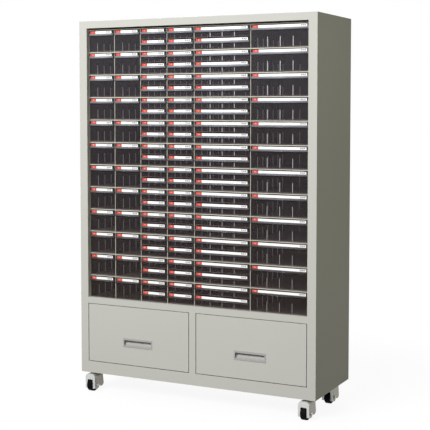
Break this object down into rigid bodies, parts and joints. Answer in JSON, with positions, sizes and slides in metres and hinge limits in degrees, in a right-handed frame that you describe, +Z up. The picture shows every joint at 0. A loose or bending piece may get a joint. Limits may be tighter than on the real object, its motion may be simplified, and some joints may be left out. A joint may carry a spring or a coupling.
{
  "type": "parts bin cabinet",
  "caption": "Steel cabinet on swivel casters with a grid of small smoked see-through drawers above two wide steel drawers with recessed pulls.",
  "frame": {"origin": "on the floor, under the middle of the cabinet", "axes": "+Z up, drawers open towards -Y, +X to the right seen from the front"},
  "size_m": [0.97, 0.3554, 1.425],
  "materials": {
    "cabinet_paint": "satin powder coat, warm light grey",
    "smoked_plastic": "smoked see-through polystyrene",
    "pull_plastic": "grey moulded",
    "zinc_steel": "bright zinc plate",
    "dark_steel": "dark plated steel",
    "caster_paint": "light grey coated pressing",
    "wheel_rubber": "black rubber"
  },
  "bodies": {
    "cabinet": {"left_side_panel": "cabinet_paint", "right_side_panel": "cabinet_paint", "top_panel": "cabinet_paint", "back_panel": "cabinet_paint", "base_panel": "cabinet_paint", "deck_panel": "cabinet_paint", "centre_post": "cabinet_paint", "column_partitions": "cabinet_paint", "row_shelves": "cabinet_paint", "drawer_runners": "cabinet_paint", "slide_brackets": "cabinet_paint", "slide_outer_members": "zinc_steel", "caster_top_plates": "dark_steel", "caster_stiffeners": "cabinet_paint", "caster_bolts": "zinc_steel", "tall_narrow_drawers": "smoked_plastic", "low_narrow_drawers": "smoked_plastic", "low_wide_drawers": "smoked_plastic", "tall_wide_drawers": "smoked_plastic"},
    "drawer_r4_c1": {"drawer_r4_c1": "smoked_plastic"},
    "drawer_r9_c1": {"drawer_r9_c1": "smoked_plastic"},
    "drawer_r4_c2": {"drawer_r4_c2": "smoked_plastic"},
    "drawer_r9_c2": {"drawer_r9_c2": "smoked_plastic"},
    "drawer_r4_c3_upper": {"drawer_r4_c3_upper": "smoked_plastic"},
    "drawer_r4_c3_lower": {"drawer_r4_c3_lower": "smoked_plastic"},
    "drawer_r9_c3_upper": {"drawer_r9_c3_upper": "smoked_plastic"},
    "drawer_r9_c3_lower": {"drawer_r9_c3_lower": "smoked_plastic"},
    "drawer_r4_c4_upper": {"drawer_r4_c4_upper": "smoked_plastic"},
    "drawer_r4_c4_lower": {"drawer_r4_c4_lower": "smoked_plastic"},
    "drawer_r9_c4_upper": {"drawer_r9_c4_upper": "smoked_plastic"},
    "drawer_r9_c4_lower": {"drawer_r9_c4_lower": "smoked_plastic"},
    "drawer_r4_c5_upper": {"drawer_r4_c5_upper": "smoked_plastic"},
    "drawer_r4_c5_lower": {"drawer_r4_c5_lower": "smoked_plastic"},
    "drawer_r9_c5_upper": {"drawer_r9_c5_upper": "smoked_plastic"},
    "drawer_r9_c5_lower": {"drawer_r9_c5_lower": "smoked_plastic"},
    "drawer_r4_c6": {"drawer_r4_c6": "smoked_plastic"},
    "drawer_r9_c6": {"drawer_r9_c6": "smoked_plastic"},
    "left_drawer": {"left_drawer_tray": "cabinet_paint", "left_drawer_front": "cabinet_paint", "left_drawer_pull": "pull_plastic", "left_slide_inner_members": "zinc_steel"},
    "left_slide_middle": {"left_slide_middle_members": "zinc_steel"},
    "right_drawer": {"right_drawer_tray": "cabinet_paint", "right_drawer_front": "cabinet_paint", "right_drawer_pull": "pull_plastic", "right_slide_inner_members": "zinc_steel"},
    "right_slide_middle": {"right_slide_middle_members": "zinc_steel"},
    "front_left_caster": {"front_left_caster_fork": "caster_paint", "front_left_caster_axle": "zinc_steel"},
    "front_left_wheel": {"front_left_caster_wheel": "wheel_rubber"},
    "front_right_caster": {"front_right_caster_fork": "caster_paint", "front_right_caster_axle": "zinc_steel"},
    "front_right_wheel": {"front_right_caster_wheel": "wheel_rubber"},
    "rear_left_caster": {"rear_left_caster_fork": "caster_paint", "rear_left_caster_axle": "zinc_steel"},
    "rear_left_wheel": {"rear_left_caster_wheel": "wheel_rubber"},
    "rear_right_caster": {"rear_right_caster_fork": "caster_paint", "rear_right_caster_axle": "zinc_steel"},
    "rear_right_wheel": {"rear_right_caster_wheel": "wheel_rubber"}
  },
  "joints": [
    {"name": "drawer_r4_c1_slide", "type": "slide", "parent": "cabinet", "child": "drawer_r4_c1", "axis": [0, -1, 0], "range_m": [0, 0.24]},
    {"name": "drawer_r9_c1_slide", "type": "slide", "parent": "cabinet", "child": "drawer_r9_c1", "axis": [0, -1, 0], "range_m": [0, 0.24]},
    {"name": "drawer_r4_c2_slide", "type": "slide", "parent": "cabinet", "child": "drawer_r4_c2", "axis": [0, -1, 0], "range_m": [0, 0.24]},
    {"name": "drawer_r9_c2_slide", "type": "slide", "parent": "cabinet", "child": "drawer_r9_c2", "axis": [0, -1, 0], "range_m": [0, 0.24]},
    {"name": "drawer_r4_c3_upper_slide", "type": "slide", "parent": "cabinet", "child": "drawer_r4_c3_upper", "axis": [0, -1, 0], "range_m": [0, 0.24]},
    {"name": "drawer_r4_c3_lower_slide", "type": "slide", "parent": "cabinet", "child": "drawer_r4_c3_lower", "axis": [0, -1, 0], "range_m": [0, 0.24]},
    {"name": "drawer_r9_c3_upper_slide", "type": "slide", "parent": "cabinet", "child": "drawer_r9_c3_upper", "axis": [0, -1, 0], "range_m": [0, 0.24]},
    {"name": "drawer_r9_c3_lower_slide", "type": "slide", "parent": "cabinet", "child": "drawer_r9_c3_lower", "axis": [0, -1, 0], "range_m": [0, 0.24]},
    {"name": "drawer_r4_c4_upper_slide", "type": "slide", "parent": "cabinet", "child": "drawer_r4_c4_upper", "axis": [0, -1, 0], "range_m": [0, 0.24]},
    {"name": "drawer_r4_c4_lower_slide", "type": "slide", "parent": "cabinet", "child": "drawer_r4_c4_lower", "axis": [0, -1, 0], "range_m": [0, 0.24]},
    {"name": "drawer_r9_c4_upper_slide", "type": "slide", "parent": "cabinet", "child": "drawer_r9_c4_upper", "axis": [0, -1, 0], "range_m": [0, 0.24]},
    {"name": "drawer_r9_c4_lower_slide", "type": "slide", "parent": "cabinet", "child": "drawer_r9_c4_lower", "axis": [0, -1, 0], "range_m": [0, 0.24]},
    {"name": "drawer_r4_c5_upper_slide", "type": "slide", "parent": "cabinet", "child": "drawer_r4_c5_upper", "axis": [0, -1, 0], "range_m": [0, 0.24]},
    {"name": "drawer_r4_c5_lower_slide", "type": "slide", "parent": "cabinet", "child": "drawer_r4_c5_lower", "axis": [0, -1, 0], "range_m": [0, 0.24]},
    {"name": "drawer_r9_c5_upper_slide", "type": "slide", "parent": "cabinet", "child": "drawer_r9_c5_upper", "axis": [0, -1, 0], "range_m": [0, 0.24]},
    {"name": "drawer_r9_c5_lower_slide", "type": "slide", "parent": "cabinet", "child": "drawer_r9_c5_lower", "axis": [0, -1, 0], "range_m": [0, 0.24]},
    {"name": "drawer_r4_c6_slide", "type": "slide", "parent": "cabinet", "child": "drawer_r4_c6", "axis": [0, -1, 0], "range_m": [0, 0.24]},
    {"name": "drawer_r9_c6_slide", "type": "slide", "parent": "cabinet", "child": "drawer_r9_c6", "axis": [0, -1, 0], "range_m": [0, 0.24]},
    {"name": "left_drawer_slide", "type": "slide", "parent": "cabinet", "child": "left_drawer", "axis": [0, -1, 0], "range_m": [0, 0.28]},
    {"name": "left_slide_middle_travel", "type": "slide", "parent": "cabinet", "child": "left_slide_middle", "axis": [0, -1, 0], "range_m": [0, 0.14]},
    {"name": "right_drawer_slide", "type": "slide", "parent": "cabinet", "child": "right_drawer", "axis": [0, -1, 0], "range_m": [0, 0.28]},
    {"name": "right_slide_middle_travel", "type": "slide", "parent": "cabinet", "child": "right_slide_middle", "axis": [0, -1, 0], "range_m": [0, 0.14]},
    {"name": "front_left_caster_swivel", "type": "hinge", "parent": "cabinet", "child": "front_left_caster", "pos_m": [-0.443, -0.1325, 0.0687], "axis": [0, 0, 1], "continuous": true},
    {"name": "front_left_wheel_roll", "type": "hinge", "parent": "front_left_caster", "child": "front_left_wheel", "pos_m": [-0.44431, -0.15747, 0.025], "axis": [0.9986, -0.0523, 0], "continuous": true},
    {"name": "front_right_caster_swivel", "type": "hinge", "parent": "cabinet", "child": "front_right_caster", "pos_m": [0.443, -0.1325, 0.0687], "axis": [0, 0, 1], "continuous": true},
    {"name": "front_right_wheel_roll", "type": "hinge", "parent": "front_right_caster", "child": "front_right_wheel", "pos_m": [0.44169, -0.15747, 0.025], "axis": [0.9986, -0.0523, 0], "continuous": true},
    {"name": "rear_left_caster_swivel", "type": "hinge", "parent": "cabinet", "child": "rear_left_caster", "pos_m": [-0.443, 0.1065, 0.0687], "axis": [0, 0, 1], "continuous": true},
    {"name": "rear_left_wheel_roll", "type": "hinge", "parent": "rear_left_caster", "child": "rear_left_wheel", "pos_m": [-0.41855, 0.1013, 0.025], "axis": [0.2079, 0.9781, 0], "continuous": true},
    {"name": "rear_right_caster_swivel", "type": "hinge", "parent": "cabinet", "child": "rear_right_caster", "pos_m": [0.443, 0.1065, 0.0687], "axis": [0, 0, 1], "continuous": true},
    {"name": "rear_right_wheel_roll", "type": "hinge", "parent": "rear_right_caster", "child": "rear_right_wheel", "pos_m": [0.44169, 0.08153, 0.025], "axis": [0.9986, -0.0523, 0], "continuous": true}
  ],
  "couplings": [
    {"joint": "left_slide_middle_travel", "follows": "left_drawer_slide", "ratio": 0.5},
    {"joint": "right_slide_middle_travel", "follows": "right_drawer_slide", "ratio": 0.5}
  ]
}
